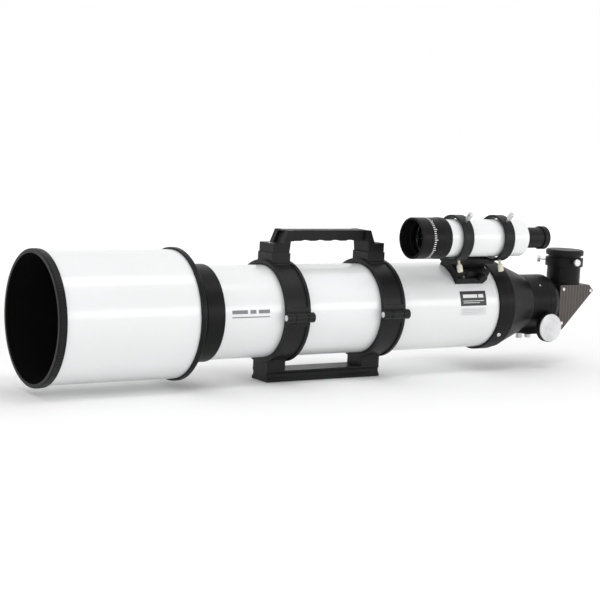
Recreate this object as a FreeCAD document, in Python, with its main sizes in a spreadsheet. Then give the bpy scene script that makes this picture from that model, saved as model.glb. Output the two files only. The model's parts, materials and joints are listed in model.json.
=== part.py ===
"""Refractor telescope on a hinged-ring cradle: a parametric FreeCAD model.

Frame: millimetres, +X from the objective towards the eyepiece, +Z up, and -Y on
the side of the ring hinges, the finder scope and the name band.  The origin is
the centre of the dovetail bar's bottom face.
"""
import FreeCAD, Part
import Sketcher
import math
import os
from FreeCAD import Placement, Rotation, Vector

# ---------------------------------------------------------------- sizes, in mm
SIZES = {
    # fits, all radial or per side
    "running_gap": 0.08,        # a shaft or pin that turns in its bore
    "seat_gap": 0.05,           # a piece fixed inside another
    "slide_gap": 0.3,           # faces that pass each other
    "free_gap": 0.7,            # a tip that swings clear of its hole
    # main tube
    "tube_diameter": 138, "tube_wall": 2, "tube_length": 506.7, "tube_front": -210,
    "baffle_thickness": 1.5, "baffle_first": 130, "baffle_last": 76.7, "baffle_clearance": 2,
    # objective cell
    "clear_aperture": 127, "lens_rim": 1.5, "crown_edge": 5, "flint_edge": 12,
    "lens_air_gap": 0.6, "crown_front_radius": 480, "crown_rear_radius": 300,
    "flint_front_radius": 320, "lens_thread": 1.2,
    "cell_collar_wall": 2.5, "cell_collar_length": 43.6, "cell_lip": 3.6,
    "collar_step": 16, "collar_step_depth": 0.8,
    "cell_spigot": 28, "cell_land_length": 32, "cell_land_wall": 9.5,
    "cell_shoulder": 3, "retainer_length": 6, "retainer_wall": 2.2,
    # dew shield
    "shield_diameter": 186.2, "shield_wall": 1.6, "shield_length": 222,
    "front_ring_length": 11.2, "front_ring_proud": 2.7, "front_lip": 4,
    "rear_ring_length": 7.8, "rear_ring_proud": 3.1, "rear_plate": 5, "hub_wall": 3.6,
    # cradle rings
    "ring_pitch": 172, "ring_width": 41, "liner_thickness": 1.2, "ring_wall": 6.3,
    "split_gap": 0.6, "recess_depth": 2, "recess_rim": 5, "recess_start": 14,
    "foot_length": 32, "foot_width": 40, "foot_rise": 11.2, "foot_drop": 11.8,
    "barrel_radius": 7.5, "barrel_length": 45, "barrel_offset": 3.2,
    "middle_knuckle": 20, "knuckle_gap": 0.4, "barrel_gap": 0.5,
    "hinge_pin_radius": 3, "pin_head_radius": 4.4, "pin_head_length": 1.6,
    "ear_length": 22, "ear_reach": 22, "ear_thickness": 9, "stud_offset": 11.5,
    "stud_radius": 3, "knob_radius": 9.5, "knob_length": 15,
    "liner_start": 18,
    # dovetail bar
    "bar_length": 204, "bar_height": 16.4, "bar_bottom_width": 44, "bar_waist_width": 37,
    "bar_top_width": 41, "bar_lip": 3, "bar_waist_low": 7.5, "bar_waist_high": 11.5,
    "bolt_radius": 3, "bolt_head_radius": 5, "bolt_head_length": 6, "bolt_spacing": 18,
    "bolt_grip": 9, "tripod_thread": 6.35, "tripod_depth": 12,
    # carry handle
    "handle_width": 40, "handle_grip_width": 29, "handle_foot_length": 28,
    "handle_foot_height": 14, "handle_rise": 33.5, "handle_grip_height": 16,
    "handle_shoulder": 5, "handle_shelf": 17.5, "handle_lean": 8, "handle_leg": 12.5,
    "handle_pocket_width": 20, "handle_pocket_depth": 4,
    "finger_radius": 26, "finger_depth": 1.4, "finger_pitch": 27,
    # rear cell and focuser
    "cell_ring_proud": 4, "cell_ring_length": 20.9, "rear_spigot": 22, "rear_neck_length": 10.4,
    "cell_screw_radius": 2.4, "cell_screw_head": 3.6, "cell_screw_seat": 4,
    "rear_neck_proud": 2, "cone_length": 61, "cone_step": 0.5, "cone_wall": 4,
    "cone_rim": 4.5, "body_wall": 16, "body_length": 33, "base_width": 50,
    "base_drop": 20, "base_length": 38, "drawtube_radius": 30, "drawtube_bore": 25.5,
    "drawtube_front": 64, "collar_length": 23.4, "collar_chamfer": 6.5, "track_height": 1,
    "track_width": 9, "roller_radius": 5, "roller_width": 4, "roller_hole": 1.6,
    "roller_inset": 7.5, "roller_angle": 40, "shaft_radius": 4, "shaft_setback": 24,
    "knob_disc_radius": 24, "knob_disc_length": 11,
    "knob_clearance": 1.5, "knob_hub_radius": 9, "knob_hub_length": 5,
    "thumb_spacing": 19, "thumb_head_radius": 5.3,
    "thumb_head_length": 9, "thumb_stem_radius": 2,
    # star diagonal
    "nosepiece_radius": 25.35, "nosepiece_bore": 22.5, "nosepiece_length": 40,
    "diagonal_gap": 8, "diagonal_front": 31, "diagonal_top": 30.5, "diagonal_back": 42,
    "diagonal_drop": 44, "diagonal_chamfer": 10, "diagonal_half_width": 27,
    "side_plate": 3, "back_plate": 3, "mirror_thickness": 9, "mirror_length": 64,
    "mirror_width": 46, "light_path_radius": 22.5, "plate_screw_radius": 2.2,
    "plate_screw_head": 1.2, "plate_screw_inset": 6.5,
    "holder_radius": 27.8, "holder_height": 29.5, "holder_collar_radius": 31.5,
    "holder_collar_height": 14, "holder_bore": 25.5, "clamp_stem_radius": 1.3,
    "clamp_stem_out": 8.7, "clamp_head_radius": 5.6, "clamp_head_length": 5,
    "plug_flange_radius": 31.2, "plug_flange_height": 9, "plug_neck": 4.5,
    "plug_insert": 26,
    # finder scope
    "finder_angle": 33, "finder_height": 137, "finder_radius": 29, "finder_wall": 1.5,
    "finder_lead": 104.5, "finder_length": 214, "finder_cell_length": 56, "finder_cell_wall": 2.7,
    "finder_lens_step": 3, "finder_focus": 5,
    "finder_tail_chamfer": 5, "ocular_radius": 16.4, "ocular_length": 39,
    "eyecup_radius": 18.4, "eyecup_length": 10.5, "ocular_bore": 11,
    "front_ring_lead": 29, "finder_ring_pitch": 81, "finder_ring_width": 18,
    "finder_ring_wall": 3.4, "finder_ring_gap": 3.6, "aim_turn": 8,
    "aim_stem_radius": 2, "aim_stem_out": 7, "aim_head_radius": 4.2, "aim_head_length": 11,
    "shoe_setback": 81.7, "shoe_length": 62, "shoe_width": 50, "shoe_base": 6,
    "shoe_wall": 11, "dovetail_top": 26, "dovetail_bottom": 32, "dovetail_height": 7,
    "bracket_stem": 18, "bracket_bar_height": 7, "bracket_bar_width": 24,
    "shoe_screw_head": 7.5, "shoe_screw_place": 43, "shoe_screw_rise": 5.5, "shoe_corner": 9,
    "shoe_screw_sink": 2.6, "mount_screw_radius": 1.55, "mount_screw_cap": 3.2,
}

doc = FreeCAD.newDocument("refractor_telescope")
sheet = doc.addObject("Spreadsheet::Sheet", "Sizes")
for row, (name, value) in enumerate(SIZES.items(), start=1):
    sheet.set(f"A{row}", name)
    sheet.set(f"B{row}", str(value))
    sheet.setAlias(f"B{row}", name)
doc.recompute()


# ------------------------------------------------- sizes that keep their formula
class Size:
    """A length or ratio that knows both its value and its formula on the sheet."""

    def __init__(self, value, formula):
        self.value = value
        self.formula = formula

    def __add__(self, other):
        return Size(self.value + number(other), f"({self.formula} + {formula(other)})")

    def __radd__(self, other):
        return self + other

    def __sub__(self, other):
        return Size(self.value - number(other), f"({self.formula} - {formula(other)})")

    def __rsub__(self, other):
        return Size(number(other) - self.value, f"({formula(other)} - {self.formula})")

    def __mul__(self, other):
        return Size(self.value * number(other), f"({self.formula} * {formula(other)})")

    def __rmul__(self, other):
        return self * other

    def __truediv__(self, other):
        return Size(self.value / number(other), f"({self.formula} / {formula(other)})")

    def __neg__(self):
        return 0 - self


def number(item):
    return item.value if isinstance(item, Size) else float(item)


def formula(item):
    return item.formula if isinstance(item, Size) else f"({float(item):.6f})"


def cosine(angle):
    return Size(math.cos(math.radians(number(angle))), f"cos({formula(angle)} * 1 deg)")


def sine(angle):
    return Size(math.sin(math.radians(number(angle))), f"sin({formula(angle)} * 1 deg)")


class Sheet:
    """Reads a named size: d.tube_diameter."""

    def __getattr__(self, name):
        return Size(float(SIZES[name]), f"Sizes.{name}")


d = Sheet()

# ------------------------------------------------------------ derived positions
tube_radius = d.tube_diameter / 2
tube_bore = tube_radius - d.tube_wall
tube_rear = d.tube_front + d.tube_length
ring_inner = tube_radius + d.slide_gap + d.liner_thickness
ring_outer = ring_inner + d.ring_wall
axis_height = ring_outer + d.foot_drop + d.bar_height
hinge_y = -(ring_outer + d.barrel_offset)
foot_top = ring_outer + d.foot_rise
lens_radius = d.clear_aperture / 2 + d.lens_rim
lens_stack = d.crown_edge + d.lens_air_gap + d.flint_edge
collar_rear = d.tube_front + d.cell_lip
collar_front = collar_rear - d.cell_collar_length
land_front = collar_front - d.cell_land_length
land_radius = lens_radius + d.cell_land_wall
seat_rear = d.tube_front - d.cell_shoulder
lens_front = seat_rear - lens_stack
shield_radius = d.shield_diameter / 2
shield_rear = collar_front
shield_front = shield_rear - d.shield_length
cell_ring_rear = tube_rear + d.cell_ring_length
neck_rear = cell_ring_rear + d.rear_neck_length
cone_rear = neck_rear + d.cone_length + d.cone_rim
body_radius = d.drawtube_radius + d.body_wall
base_depth = d.drawtube_radius + d.base_drop
knob_stand = body_radius + d.knob_clearance
body_rear = cone_rear + d.body_length
collar_start = body_rear + d.slide_gap * 2
collar_end = collar_start + d.collar_length
shaft_x = cone_rear + d.shaft_setback
shaft_z = -(d.drawtube_radius + d.track_height + d.slide_gap + d.shaft_radius)
diagonal_face = collar_end + d.diagonal_gap
diagonal_x = diagonal_face + d.diagonal_front
diagonal_rear = diagonal_x + d.diagonal_back
holder_top = d.diagonal_top + d.holder_height + d.holder_collar_height
shoe_start = tube_rear - d.shoe_setback
shoe_end = shoe_start + d.shoe_length
finder_front = shoe_start - d.finder_lead
finder_rear = finder_front + d.finder_length
finder_cell_rear = finder_front + d.finder_cell_length
finder_ring_inner = d.finder_radius + d.finder_ring_gap
finder_ring_outer = finder_ring_inner + d.finder_ring_wall


# ------------------------------------------------------------------- small tools
pieces = []


def finish(obj, label, x=0, y=0, z=axis_height, turn=0):
    """Names a finished piece and sets it in the frame, turned about its own X."""
    obj.Label = label
    move(obj, x, y, z)
    if number(turn) != 0:
        obj.Placement = Placement(obj.Placement.Base, Rotation(Vector(1, 0, 0), number(turn)))
        obj.setExpression("Placement.Rotation.Angle", f"{formula(turn)} * 1 deg")
    pieces.append(obj)
    return obj


def move(obj, x=0, y=0, z=0):
    for axis, item in zip("xyz", (x, y, z)):
        obj.setExpression("Placement.Base." + axis, formula(item))


def bind(obj, **sizes):
    for prop, item in sizes.items():
        obj.setExpression(prop, formula(item))


def cylinder(radius, length, x=0, y=0, z=0, along="X"):
    """A cylinder that starts at x, y, z and runs along +X, +Y or +Z."""
    obj = doc.addObject("Part::Cylinder", "cylinder")
    turns = {"X": Rotation(Vector(0, 1, 0), 90), "Y": Rotation(Vector(1, 0, 0), -90), "Z": Rotation()}
    obj.Placement = Placement(Vector(), turns[along])
    bind(obj, Radius=radius, Height=length)
    move(obj, x, y, z)
    return obj


def block(x, y, z):
    """A box between the pairs of limits x, y and z."""
    obj = doc.addObject("Part::Box", "block")
    bind(obj, Length=x[1] - x[0], Width=y[1] - y[0], Height=z[1] - z[0])
    move(obj, x[0], y[0], z[0])
    return obj


def ball(radius, x):
    obj = doc.addObject("Part::Sphere", "ball")
    bind(obj, Radius=radius)
    move(obj, x)
    return obj


def fused(*parts):
    obj = doc.addObject("Part::MultiFuse", "fused")
    obj.Shapes = list(parts)
    return obj


def common(*parts):
    obj = doc.addObject("Part::MultiCommon", "common")
    obj.Shapes = list(parts)
    return obj


def cut(base, *tools):
    obj = doc.addObject("Part::Cut", "cut")
    obj.Base = base
    obj.Tool = tools[0] if len(tools) == 1 else fused(*tools)
    return obj


def group(*parts):
    obj = doc.addObject("Part::Compound", "group")
    obj.Links = list(parts)
    return obj


def tube(outer, inner, start, end):
    """A plain tube about the X axis."""
    return cut(cylinder(outer, end - start, start), cylinder(inner, end - start, start))


def outline(body, role, points):
    """A closed polygon sketch on one of the body's own origin planes."""
    sketch = body.newObject("Sketcher::SketchObject", "outline")
    plane = [item for item in body.Origin.OriginFeatures if item.Role == role][0]
    sketch.AttachmentSupport = (plane, [""])
    sketch.MapMode = "FlatFace"
    corners = [Vector(number(across), number(up), 0) for across, up in points]
    count = len(corners)
    for index in range(count):
        sketch.addGeometry(Part.LineSegment(corners[index], corners[(index + 1) % count]), False)
    for index in range(count):
        sketch.addConstraint(Sketcher.Constraint("Coincident", index, 2, (index + 1) % count, 1))
    for index, (across, up) in enumerate(points):
        for kind, item in (("DistanceX", across), ("DistanceY", up)):
            place = sketch.addConstraint(Sketcher.Constraint(kind, index, 1, number(item)))
            sketch.setExpression(f"Constraints[{place}]", formula(item))
    return sketch


def turned(points):
    """A body turned about its X axis; each point is (place along X, radius)."""
    body = doc.addObject("PartDesign::Body", "turned")
    sketch = outline(body, "XZ_Plane", points)
    turning = body.newObject("PartDesign::Revolution", "turning")
    turning.Profile = sketch
    turning.ReferenceAxis = (sketch, ["H_Axis"])
    turning.Angle = 360
    return body


def slab(points, width, role="XZ_Plane"):
    """A body with a flat outline, as thick as width and centred on its plane."""
    body = doc.addObject("PartDesign::Body", "slab")
    sketch = outline(body, role, points)
    pad = body.newObject("PartDesign::Pad", "pad")
    pad.Profile = sketch
    pad.SideType = "Symmetric"
    bind(pad, Length=width)
    return body


def aimed(body, direction, x=0, y=0, z=0):
    """Turns a body's own X axis towards direction and moves it to x, y, z."""
    body.Placement = Placement(Vector(), Rotation(Vector(1, 0, 0), Vector(*direction)))
    move(body, x, y, z)
    return body


# ------------------------------------------------------------------ cradle, base
def dovetail_bar():
    half = d.bar_bottom_width / 2
    waist = d.bar_waist_width / 2
    top = d.bar_top_width / 2
    right = [(half, 0), (half, d.bar_lip), (waist, d.bar_waist_low),
             (waist, d.bar_waist_high), (top, d.bar_height - 2), (top, d.bar_height)]
    left = [(-across, up) for across, up in reversed(right)]
    bar = slab(right + left, d.bar_length, "YZ_Plane")
    holes = [cylinder(d.tripod_thread / 2, d.tripod_depth, along="Z")]
    for x in bolt_places():
        holes.append(cylinder(d.bolt_radius + d.seat_gap, d.bar_height, x, along="Z"))
        holes.append(cylinder(d.bolt_head_radius + d.slide_gap, d.bolt_head_length + 1, x, along="Z"))
    finish(cut(bar, *holes), "dovetail_bar", z=0)


def bolt_places():
    """X of the four bolts that hold the ring feet to the bar."""
    return [ring * d.ring_pitch / 2 + side * d.bolt_spacing / 2 for ring in (-1, 1) for side in (-1, 1)]


def cap_screw(head_radius, head_length, shank_radius, shank_length, socket=0.5):
    """A socket-head cap screw that points along +X, with its head's top at x = 0."""
    deep = head_length * 0.5
    return turned([(deep, 0), (deep, head_radius * socket), (0, head_radius * socket),
                   (0, head_radius), (head_length, head_radius), (head_length, shank_radius),
                   (head_length + shank_length, shank_radius), (head_length + shank_length, 0)])


def bar_bolts():
    shank = d.bar_height - d.bolt_head_length - 1 + d.bolt_grip
    bolts = [aimed(cap_screw(d.bolt_head_radius, d.bolt_head_length, d.bolt_radius, shank),
                   (0, 0, 1), x, 0, 1) for x in bolt_places()]
    finish(group(*bolts), "bar_bolts", z=0)


def ring_band():
    """The full band of a cradle ring, centred on x = 0, with its side recesses cut."""
    half = d.ring_width / 2
    band = tube(ring_outer, ring_inner, -half, half)
    rim = half - d.recess_rim
    waist = tube(ring_outer + 1, ring_outer - d.recess_depth, -rim, rim)
    far = ring_outer + 2
    side = d.foot_width / 2 + 4
    windows = [block((-rim, rim), ys, zs) for ys in ((-far, -side), (side, far))
               for zs in ((d.recess_start, far), (-far, -d.recess_start))]
    return cut(band, common(waist, fused(*windows)))


def knuckle(start, end, radius):
    return cylinder(radius, end - start, start, hinge_y, 0)


def ear(low, high):
    """The clamp ear on the side away from the hinge, between two heights."""
    half = d.ear_length / 2
    return block((-half, half), (ring_inner + 1, ring_outer + d.ear_reach), (low, high))


def ring_half(side):
    """One half of a cradle ring: side is 1 for the upper half and -1 for the lower."""
    far = ring_outer + 60
    half_gap = d.split_gap / 2
    half_foot = d.foot_length / 2
    middle = d.middle_knuckle / 2
    end = d.barrel_length / 2
    rise = foot_top if side > 0 else ring_outer + d.foot_drop
    zs = sorted((side * (ring_inner - 1), side * rise), key=number)
    foot = block((-half_foot, half_foot), (-d.foot_width / 2, d.foot_width / 2), zs)
    ear_zs = sorted((side * half_gap, side * (half_gap + d.ear_thickness)), key=number)
    bore = cylinder(ring_inner, 4 * end, -2 * end)
    away = sorted((side * half_gap, -side * far), key=number)
    shell = cut(fused(ring_band(), foot, ear(*ear_zs)), bore, block((-far, far), (-far, far), away))
    spans = [(-middle, middle)] if side > 0 else [(-end, -middle - d.knuckle_gap),
                                                  (middle + d.knuckle_gap, end)]
    others = [(-end - 1, -middle - d.knuckle_gap / 2), (middle + d.knuckle_gap / 2, end + 1)] if side > 0 \
        else [(-middle - d.knuckle_gap / 2, middle + d.knuckle_gap / 2)]
    shell = cut(shell, *[knuckle(*span, d.barrel_radius + d.barrel_gap) for span in others])
    solid = fused(shell, *[knuckle(*span, d.barrel_radius) for span in spans])
    pin_gap = d.running_gap if side > 0 else d.seat_gap
    holes = [knuckle(-2 * end, 2 * end, d.hinge_pin_radius + pin_gap)]
    stud_gap = d.running_gap if side > 0 else d.free_gap
    holes.append(cylinder(d.stud_radius + stud_gap, 4 * d.ear_thickness, 0, ring_outer + d.stud_offset,
                          -2 * d.ear_thickness, "Z"))
    for place in ((-d.bolt_spacing / 2, d.bolt_spacing / 2) if side < 0 else ()):
        holes.append(cylinder(d.bolt_radius + d.seat_gap, d.bolt_grip + 1, place, 0,
                              -(ring_outer + d.foot_drop) - 1, "Z"))
    return cut(solid, *holes)


def liner_half(side):
    width = d.ring_width - 4
    felt = tube(ring_inner, ring_inner - d.liner_thickness, -width / 2, width / 2)
    zs = sorted((side * d.liner_start, side * (ring_outer + 5)), key=number)
    return common(felt, block((-width, width), (-ring_outer, ring_outer), zs))


def at_ring(obj, end):
    """Moves a piece modelled about a ring's centre to the front (-1) or rear (1) ring."""
    move(obj, end * d.ring_pitch / 2)
    return obj


def hinge_pin():
    end = d.barrel_length / 2
    return turned([(-end - d.pin_head_length, 0), (-end - d.pin_head_length, d.pin_head_radius),
                   (-end, d.pin_head_radius), (-end, d.hinge_pin_radius),
                   (end + 1, d.hinge_pin_radius), (end + 1, 0)])


def clamp_knob():
    """Captive clamp knob: a knurled head on a stud that points down into the lower ear."""
    top = d.split_gap / 2 + d.ear_thickness
    return turned([(-d.ear_thickness, 0), (-d.ear_thickness, d.stud_radius),
                   (top + 0.4, d.stud_radius), (top + 0.4, d.knob_radius * 0.72),
                   (top + 3, d.knob_radius), (top + d.knob_length - 1.5, d.knob_radius),
                   (top + d.knob_length, d.knob_radius - 1.5), (top + d.knob_length, 0)])


def cradle():
    dovetail_bar()
    bar_bolts()
    for end, name in ((-1, "front"), (1, "rear")):
        finish(ring_half(-1), f"ring_lower_{name}", x=end * d.ring_pitch / 2)
    finish(group(*[at_ring(liner_half(-1), end) for end in (-1, 1)]), "liners_lower")
    pins = [at_ring(hinge_pin(), end) for end in (-1, 1)]
    finish(group(*pins), "hinge_pins", y=hinge_y)


# ----------------------------------------------------------- cradle, hinged half
def carry_handle():
    outer = d.ring_pitch / 2 + d.handle_foot_length / 2
    inner = d.ring_pitch / 2 - d.handle_foot_length / 2
    shelf = foot_top + d.handle_foot_height
    crown = foot_top + d.handle_rise
    under = crown - d.handle_grip_height
    lean = outer - d.handle_shelf
    right = [(outer, foot_top), (outer, shelf), (lean, shelf), (lean - d.handle_lean, crown)]
    opening = lean - d.handle_leg
    right_inner = [(opening, under), (inner, foot_top)]
    left = [(-x, z) for x, z in right_inner + right]
    frame = slab(left + [(x, z) for x, z in reversed(right_inner + right)], d.handle_width)
    half, grip = d.handle_width / 2, d.handle_grip_width / 2
    waist = opening - d.handle_shoulder
    flanks = [block((-waist, waist), ys, (under - 5, crown + 5))
              for ys in ((-half - 1, -grip), (grip, half + 1))]
    fingers = [cylinder(d.finger_radius, d.handle_width + 2, place * d.finger_pitch, -half - 1,
                        under - d.finger_radius + d.finger_depth, "Y") for place in (-1.5, -0.5, 0.5, 1.5)]
    holes = []
    pocket = d.handle_pocket_width / 2
    for end in (-1, 1):
        face = [(lean, shelf), (lean - d.handle_pocket_depth, shelf),
                (lean - d.handle_lean - d.handle_pocket_depth, crown - 2), (lean - d.handle_lean, crown - 2),
                (outer, crown - 2), (outer, shelf)]
        holes.append(slab([(end * x, z) for x, z in face], 2 * pocket))
        place = end * bolt_x()
        holes.append(cylinder(d.bolt_radius + d.seat_gap, 60, place, 0, foot_top - 20, "Z"))
        holes.append(cylinder(d.bolt_head_radius + d.slide_gap, 40, place, 0,
                              shelf - d.bolt_head_length, "Z"))
    finish(cut(frame, *flanks, *fingers, *holes), "carry_handle")


def bolt_x():
    """X of the bolt through each foot of the handle, under its outer shelf."""
    return d.ring_pitch / 2 + d.handle_foot_length / 2 - d.handle_shelf / 2


def handle_bolts():
    shelf = foot_top + d.handle_foot_height
    shank = d.handle_foot_height - d.bolt_head_length + d.bolt_grip - 1
    bolts = [aimed(cap_screw(d.bolt_head_radius, d.bolt_head_length, d.bolt_radius, shank),
                   (0, 0, -1), end * bolt_x(), 0, shelf) for end in (-1, 1)]
    finish(group(*bolts), "handle_bolts")


def upper_half():
    for end, name in ((-1, "front"), (1, "rear")):
        ring = ring_half(1)
        shift = end * (bolt_x() - d.ring_pitch / 2)
        drilled = cut(ring, cylinder(d.bolt_radius + d.seat_gap, d.bolt_grip + 1, shift, 0,
                                     foot_top - d.bolt_grip, "Z"))
        finish(drilled, f"ring_upper_{name}", x=end * d.ring_pitch / 2)
    finish(group(*[at_ring(liner_half(1), end) for end in (-1, 1)]), "liners_upper")
    carry_handle()
    handle_bolts()
    for end, name in ((-1, "front"), (1, "rear")):
        knob = aimed(clamp_knob(), (0, 0, 1))
        finish_aimed(knob, f"clamp_knob_{name}", end * d.ring_pitch / 2,
                     ring_outer + d.stud_offset, axis_height)


def finish_aimed(obj, label, x, y, z):
    """Names a piece that already has its own direction and moves it into place."""
    obj.Label = label
    move(obj, x, y, z)
    pieces.append(obj)


# --------------------------------------------------------------------- main tube
def main_tube():
    drills = group(*[shoe_drill(x, y) for x, y in shoe_screw_spots()])
    drills.Placement = Placement(Vector(), Rotation(Vector(1, 0, 0), number(d.finder_angle)))
    drills.setExpression("Placement.Rotation.Angle", f"{formula(d.finder_angle)} * 1 deg")
    finish(cut(tube(tube_radius, tube_bore, d.tube_front, tube_rear), drills), "main_tube")


def lens_cell():
    spigot = tube_bore - d.seat_gap
    collar = tube_radius + d.cell_collar_wall
    front = land_front
    thread = lens_radius + d.lens_thread
    step = collar_front + d.collar_step
    points = [(front, thread), (front, land_radius), (collar_front, land_radius),
              (collar_front, collar - d.collar_step_depth), (step, collar - d.collar_step_depth),
              (step, collar), (collar_rear, collar), (collar_rear, tube_radius + d.seat_gap),
              (d.tube_front - 0.1, tube_radius + d.seat_gap), (d.tube_front - 0.1, spigot),
              (d.tube_front + d.cell_spigot, spigot),
              (d.tube_front + d.cell_spigot, d.clear_aperture / 2 - 0.5),
              (seat_rear, d.clear_aperture / 2 - 0.5), (seat_rear, lens_radius + d.seat_gap),
              (lens_front, lens_radius + d.seat_gap), (lens_front, thread)]
    finish(turned(points), "lens_cell")


def objective():
    edge = lens_radius
    crown_rear = lens_front + d.crown_edge
    flint_front = crown_rear + d.lens_air_gap
    crown = common(cylinder(edge, 40, lens_front - 15),
                   ball(d.crown_front_radius, lens_front + chord(d.crown_front_radius)),
                   ball(d.crown_rear_radius, crown_rear - chord(d.crown_rear_radius)))
    finish(crown, "objective_crown")
    hollow = ball(d.flint_front_radius, flint_front - chord(d.flint_front_radius))
    flint = cut(cylinder(edge, d.flint_edge, flint_front), hollow)
    finish(flint, "objective_flint")
    retainer = turned([(lens_front - d.retainer_length, lens_radius - d.retainer_wall),
                       (lens_front - d.retainer_length, lens_radius + d.lens_thread - d.seat_gap),
                       (lens_front - d.slide_gap, lens_radius + d.lens_thread - d.seat_gap),
                       (lens_front - d.slide_gap, lens_radius - d.retainer_wall)])
    finish(retainer, "lens_retainer")


def chord(radius):
    """How far a lens surface's centre is from the plane of the lens's edge."""
    value = math.sqrt(number(radius) ** 2 - number(lens_radius) ** 2)
    return Size(value, f"sqrt(pow({formula(radius)}; 2) - pow({formula(lens_radius)}; 2))")


FOCAL_RATIO = 6.5


def tube_baffles():
    """Three light stops, each as wide as the cone of light there."""
    pitch = (d.tube_length - d.baffle_first - d.baffle_last) / 2
    rings = []
    for step in range(3):
        start = d.tube_front + d.baffle_first + step * pitch
        reach = (start - lens_front) / (d.clear_aperture * FOCAL_RATIO)
        light = d.clear_aperture / 2 * (1 - reach) + d.baffle_clearance
        rings.append(tube(tube_bore - d.seat_gap, light, start, start + d.baffle_thickness))
    finish(group(*rings), "tube_baffles")


# -------------------------------------------------------------------- dew shield
def dew_shield():
    inside = shield_radius - d.shield_wall
    tube_start = shield_front + d.front_lip
    finish(tube(shield_radius, inside, tube_start, shield_rear - d.rear_plate), "dew_shield_tube")
    outer = shield_radius + d.front_ring_proud
    front = turned([(shield_front, inside - 1.5), (shield_front, outer - 1), (shield_front + 1, outer),
                    (shield_front + d.front_ring_length, outer),
                    (shield_front + d.front_ring_length, shield_radius + d.seat_gap),
                    (tube_start - 0.1, shield_radius + d.seat_gap), (tube_start - 0.1, inside - 1.5)])
    finish(front, "dew_shield_front_ring")
    rim = shield_radius + d.rear_ring_proud
    hub = land_radius + d.slide_gap
    plate = shield_rear - d.rear_plate
    rear = turned([(land_front + 2, hub), (land_front + 2, hub + d.hub_wall), (plate, hub + d.hub_wall),
                   (plate, inside - 4), (plate - 8, inside - 4), (plate - 8, inside - d.seat_gap),
                   (plate + 0.1, inside - d.seat_gap), (plate + 0.1, shield_radius + d.seat_gap),
                   (shield_rear - d.rear_ring_length, shield_radius + d.seat_gap),
                   (shield_rear - d.rear_ring_length, rim), (shield_rear - 1, rim),
                   (shield_rear, rim - 1), (shield_rear, hub)])
    finish(rear, "dew_shield_rear_ring")


# -------------------------------------------------------- rear cell and focuser
def rear_cell():
    spigot = tube_bore - d.seat_gap
    bore = spigot - 4
    neck = tube_radius + d.rear_neck_proud
    points = [(tube_rear - d.rear_spigot, bore), (tube_rear - d.rear_spigot, spigot), (tube_rear, spigot),
              (tube_rear, tube_radius + d.cell_ring_proud),
              (cell_ring_rear, tube_radius + d.cell_ring_proud), (cell_ring_rear, neck),
              (neck_rear, neck), (neck_rear, bore)]
    ring = turned(points)
    holes = [screw_hole(place) for place in screw_angles()]
    finish(cut(ring, *holes), "rear_cell")


def screw_angles():
    """Angles of the rear cell's screws, from the top towards the -Y side."""
    return [125, 245, 5]


def radial(body, angle, distance, x):
    """Points a body's own X axis outwards at an angle from the top, towards -Y."""
    direction = (0, -math.sin(math.radians(angle)), math.cos(math.radians(angle)))
    return aimed(body, direction, x, -distance * sine(angle), distance * cosine(angle))


def screw_hole(angle):
    reach = tube_radius + d.cell_ring_proud - d.cell_screw_seat
    bore = d.cell_screw_radius + 2 * d.seat_gap
    hole = turned([(0, 0), (0, bore), (10, bore), (10, 0)])
    return radial(hole, angle, reach, tube_rear + d.cell_ring_length * 0.45)


def rear_cell_screws():
    reach = tube_radius + d.cell_ring_proud - d.cell_screw_seat
    screws = []
    for angle in screw_angles():
        stem, head = d.cell_screw_radius, d.cell_screw_head
        screw = turned([(0, 0), (0, stem), (3, stem), (3, head), (4.8, head - 0.4), (4.8, 1.4),
                        (3.4, 1.4), (3.4, 0)])
        screws.append(radial(screw, angle, reach + 1, tube_rear + d.cell_ring_length * 0.45))
    finish(group(*screws), "rear_cell_screws")


def focuser_adapter():
    wide = tube_radius + d.rear_neck_proud - 0.5
    spigot = tube_bore - d.seat_gap - 4 - d.seat_gap
    small = body_radius + d.cone_step
    narrow = small - d.cone_wall
    cone_end = neck_rear + d.cone_length
    points = [(neck_rear - 8, spigot - 3), (neck_rear - 8, spigot), (neck_rear, spigot), (neck_rear, wide),
              (cone_end, small), (cone_rear, small), (cone_rear, narrow), (cone_end, narrow),
              (neck_rear + 6, spigot - 3)]
    finish(turned(points), "focuser_adapter")


def roller_spots():
    """X, angle and name of each of the four rollers above the drawtube."""
    front = cone_rear + d.roller_inset
    rear = body_rear - d.roller_inset
    return [(x, side * SIZES["roller_angle"], f"roller_{end}_{name}")
            for x, end in ((front, "front"), (rear, "rear")) for side, name in ((1, "near"), (-1, "far"))]


def roller_distance():
    return d.drawtube_radius + d.slide_gap + d.roller_radius


def across(angle):
    """The direction square to X and to the radius at an angle from the top."""
    return (0, math.cos(math.radians(angle)), math.sin(math.radians(angle)))


def crosswise(profile, angle, distance, x):
    """Turns a profile about an axis square to the radius at an angle from the top."""
    return aimed(turned(profile), across(angle), x, -distance * sine(angle), distance * cosine(angle))


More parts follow.
